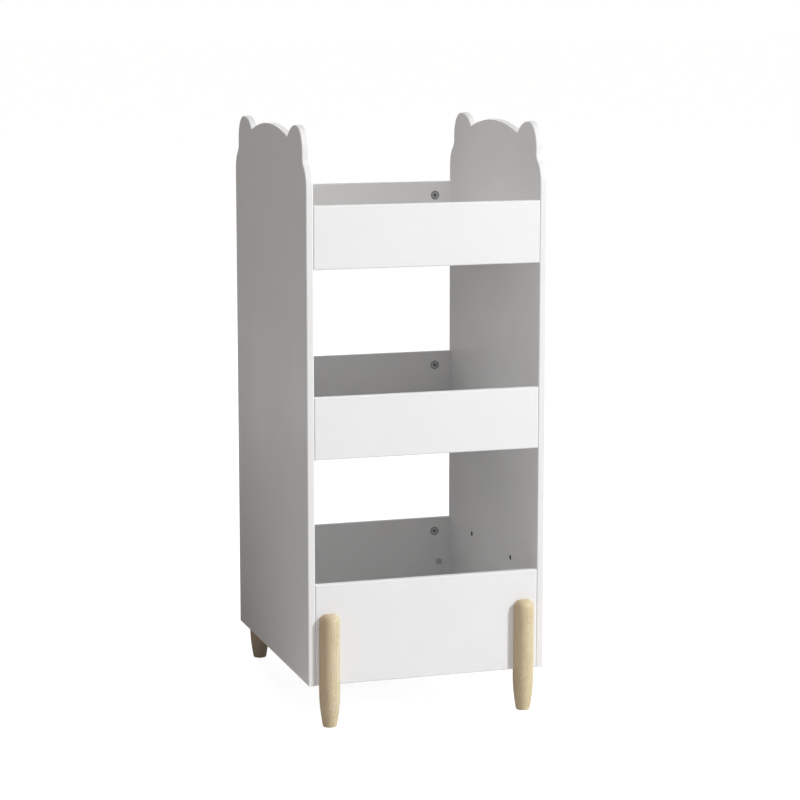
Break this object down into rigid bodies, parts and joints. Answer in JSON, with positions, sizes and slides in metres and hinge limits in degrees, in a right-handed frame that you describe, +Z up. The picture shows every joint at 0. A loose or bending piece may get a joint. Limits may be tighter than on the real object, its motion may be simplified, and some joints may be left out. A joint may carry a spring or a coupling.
{
  "type": "bookshelf",
  "caption": "Narrow open bookshelf with stacked front-fenced bins between two side panels whose tops are cut as ears, on turned legs half-lapped over the bottom boards.",
  "frame": {"origin": "on the floor, below the middle of the case, at the centre of the bounding box's bottom", "axes": "+X to the right seen from the front, +Y from the front to the back, +Z up"},
  "size_m": [0.4, 0.484, 0.959],
  "materials": {
    "white_board": "white satin paint on fibreboard, eased edges",
    "leg_beech": "clear matt lacquer on pale beech, grain along the leg",
    "dowel_beech": "raw beech",
    "cam_zinc": "cast zinc, dull",
    "bolt_steel": "zinc-plated steel",
    "insert_brass": "plain brass"
  },
  "bodies": {
    "root": {"back_board_bottom": "white_board", "back_board_middle": "white_board", "back_board_top": "white_board", "cam_bolts_bottom": "bolt_steel", "cam_bolts_middle": "bolt_steel", "cam_bolts_top": "bolt_steel", "cam_locks_bottom": "cam_zinc", "cam_locks_middle": "cam_zinc", "cam_locks_top": "cam_zinc", "dowels_bottom": "dowel_beech", "dowels_middle": "dowel_beech", "dowels_top": "dowel_beech", "floor_board_bottom": "white_board", "floor_board_middle": "white_board", "floor_board_top": "white_board", "front_board_bottom": "white_board", "front_board_middle": "white_board", "front_board_top": "white_board", "front_leg_bolts": "bolt_steel", "front_leg_inserts": "insert_brass", "front_leg_left": "leg_beech", "front_leg_right": "leg_beech", "rear_leg_bolts": "bolt_steel", "rear_leg_inserts": "insert_brass", "rear_leg_left": "leg_beech", "rear_leg_right": "leg_beech", "side_panel_left": "white_board", "side_panel_right": "white_board"}
  },
  "joints": []
}
